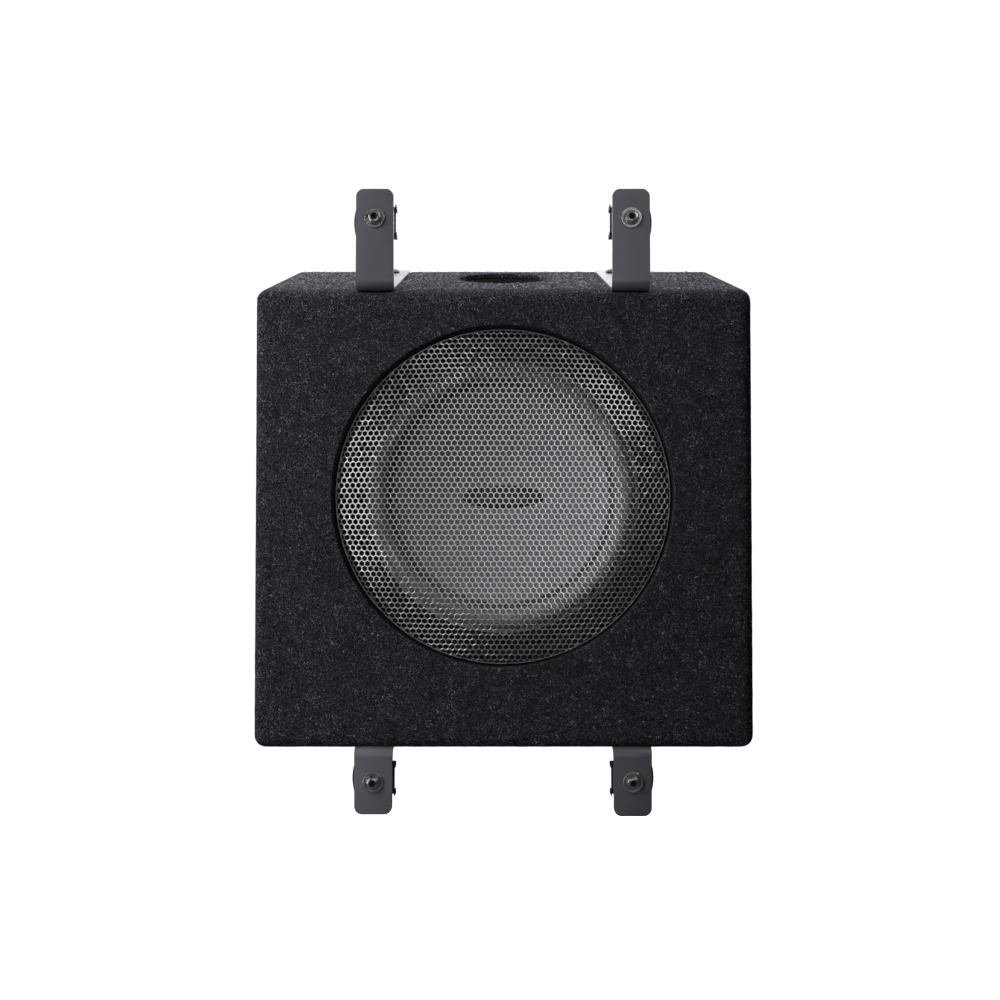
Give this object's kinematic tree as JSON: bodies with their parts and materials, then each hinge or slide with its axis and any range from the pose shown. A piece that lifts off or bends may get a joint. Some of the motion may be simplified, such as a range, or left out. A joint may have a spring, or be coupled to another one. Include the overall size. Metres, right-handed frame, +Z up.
{
  "type": "powered car subwoofer",
  "caption": "Carpeted wedge-topped subwoofer box with a round dished mesh grille, a top port, rear amplifier panel and bracket straps with clamp plates.",
  "frame": {"origin": "on the driver's axis, in the plane of the rear faces of the four bracket straps", "axes": "+Z up, the front faces -Y, +X to the viewer's right; the driver's axis is the Y axis"},
  "size_m": [0.3336, 0.1434, 0.4209],
  "materials": {
    "carpet": "needle felt",
    "mdf_black": "matt paint",
    "mdf": "bare fibreboard",
    "port_plastic": "matt",
    "basket_steel": "satin",
    "gasket_foam": "closed-cell foam",
    "surround_rubber": "matt",
    "cone_composite": "satin",
    "badge_plastic": "gloss",
    "spider_cloth": "impregnated cloth",
    "coil_copper": "enamelled copper",
    "zinc_steel": "zinc plated",
    "ferrite": "sintered ferrite",
    "tag_board": "laminate",
    "black_screws": "black oxide",
    "grille_steel": "satin powder coat",
    "ring_plastic": "matt",
    "strap_steel": "satin powder coat",
    "bolt_steel": "plated",
    "clamp_steel": "black",
    "amp_aluminium": "black anodised",
    "circuit": "solder mask",
    "connector_plastic": "moulded",
    "knob_plastic": "moulded",
    "fuse_plastic": "translucent",
    "led_lens": "clear dome",
    "lead_rubber": "jacket"
  },
  "bodies": {
    "enclosure": {"carpet_wrap": "carpet", "baffle_board": "mdf_black", "driver_mount_board": "mdf_black", "top_panel": "mdf", "bottom_panel": "mdf", "left_panel": "mdf", "right_panel": "mdf", "rear_panel": "mdf", "port_tube": "port_plastic", "driver_basket": "basket_steel", "driver_gasket": "gasket_foam", "surround": "surround_rubber", "spider": "spider_cloth", "top_plate": "zinc_steel", "back_plate": "zinc_steel", "magnet": "ferrite", "driver_terminal": "tag_board", "driver_screw_1": "black_screws", "driver_screw_2": "black_screws", "driver_screw_3": "black_screws", "driver_screw_4": "black_screws", "driver_screw_5": "black_screws", "driver_screw_6": "black_screws", "driver_screw_7": "black_screws", "driver_screw_8": "black_screws", "amp_screw_1": "black_screws", "amp_screw_2": "black_screws", "amp_screw_3": "black_screws", "amp_screw_4": "black_screws", "bracket_screw_top_left": "black_screws", "bracket_screw_top_right": "black_screws", "bracket_screw_bottom_left": "black_screws", "bracket_screw_bottom_right": "black_screws", "grille_mesh": "grille_steel", "grille_ring": "ring_plastic", "bracket_top_left": "strap_steel", "bracket_top_right": "strap_steel", "bracket_bottom_left": "strap_steel", "bracket_bottom_right": "strap_steel", "amp_panel": "amp_aluminium", "circuit_board": "circuit", "power_terminal": "connector_plastic", "input_sockets": "connector_plastic", "fuse": "fuse_plastic", "power_led": "led_lens", "speaker_lead": "lead_rubber"},
    "cone_assembly": {"cone": "cone_composite", "cone_badge": "badge_plastic", "voice_coil": "coil_copper"},
    "gain_control": {"gain_knob": "knob_plastic"},
    "crossover_control": {"crossover_knob": "knob_plastic"},
    "phase_control": {"phase_switch": "knob_plastic"},
    "bolt_top_left": {"clamp_bolt_top_left": "bolt_steel"},
    "clamp_top_left": {"clamp_plate_top_left": "clamp_steel"},
    "bolt_top_right": {"clamp_bolt_top_right": "bolt_steel"},
    "clamp_top_right": {"clamp_plate_top_right": "clamp_steel"},
    "bolt_bottom_left": {"clamp_bolt_bottom_left": "bolt_steel"},
    "clamp_bottom_left": {"clamp_plate_bottom_left": "clamp_steel"},
    "bolt_bottom_right": {"clamp_bolt_bottom_right": "bolt_steel"},
    "clamp_bottom_right": {"clamp_plate_bottom_right": "clamp_steel"}
  },
  "joints": [
    {"name": "cone_travel", "type": "slide", "parent": "enclosure", "child": "cone_assembly", "axis": [0, -1, 0], "range_m": [-0.006, 0.006], "stiffness_N_per_m": 3000, "deforming": ["surround", "spider"]},
    {"name": "gain_turn", "type": "hinge", "parent": "enclosure", "child": "gain_control", "pos_m": [0.084, 0.13, -0.058], "axis": [0, 1, 0], "range_deg": [-140, 140]},
    {"name": "crossover_turn", "type": "hinge", "parent": "enclosure", "child": "crossover_control", "pos_m": [0.056, 0.13, -0.058], "axis": [0, 1, 0], "range_deg": [-140, 140]},
    {"name": "phase_slide", "type": "slide", "parent": "enclosure", "child": "phase_control", "axis": [1, 0, 0], "range_m": [0, 0.004]},
    {"name": "bolt_turn_top_left", "type": "hinge", "parent": "enclosure", "child": "bolt_top_left", "pos_m": [-0.0865, 0, 0.1875], "axis": [0, 1, 0], "range_deg": [-360, 1800]},
    {"name": "clamp_slide_top_left", "type": "slide", "parent": "enclosure", "child": "clamp_top_left", "axis": [0, -1, 0], "range_m": [-0.001, 0.005]},
    {"name": "bolt_turn_top_right", "type": "hinge", "parent": "enclosure", "child": "bolt_top_right", "pos_m": [0.0865, 0, 0.1875], "axis": [0, 1, 0], "range_deg": [-360, 1800]},
    {"name": "clamp_slide_top_right", "type": "slide", "parent": "enclosure", "child": "clamp_top_right", "axis": [0, -1, 0], "range_m": [-0.001, 0.005]},
    {"name": "bolt_turn_bottom_left", "type": "hinge", "parent": "enclosure", "child": "bolt_bottom_left", "pos_m": [-0.0865, 0, -0.1907], "axis": [0, 1, 0], "range_deg": [-360, 1800]},
    {"name": "clamp_slide_bottom_left", "type": "slide", "parent": "enclosure", "child": "clamp_bottom_left", "axis": [0, -1, 0], "range_m": [-0.001, 0.005]},
    {"name": "bolt_turn_bottom_right", "type": "hinge", "parent": "enclosure", "child": "bolt_bottom_right", "pos_m": [0.0865, 0, -0.1907], "axis": [0, 1, 0], "range_deg": [-360, 1800]},
    {"name": "clamp_slide_bottom_right", "type": "slide", "parent": "enclosure", "child": "clamp_bottom_right", "axis": [0, -1, 0], "range_m": [-0.001, 0.005]}
  ],
  "couplings": [
    {"joint": "bolt_turn_top_left", "follows": "clamp_slide_top_left", "rad_per_m": 6283.2},
    {"joint": "bolt_turn_top_right", "follows": "clamp_slide_top_right", "rad_per_m": 6283.2},
    {"joint": "bolt_turn_bottom_left", "follows": "clamp_slide_bottom_left", "rad_per_m": 6283.2},
    {"joint": "bolt_turn_bottom_right", "follows": "clamp_slide_bottom_right", "rad_per_m": 6283.2}
  ]
}
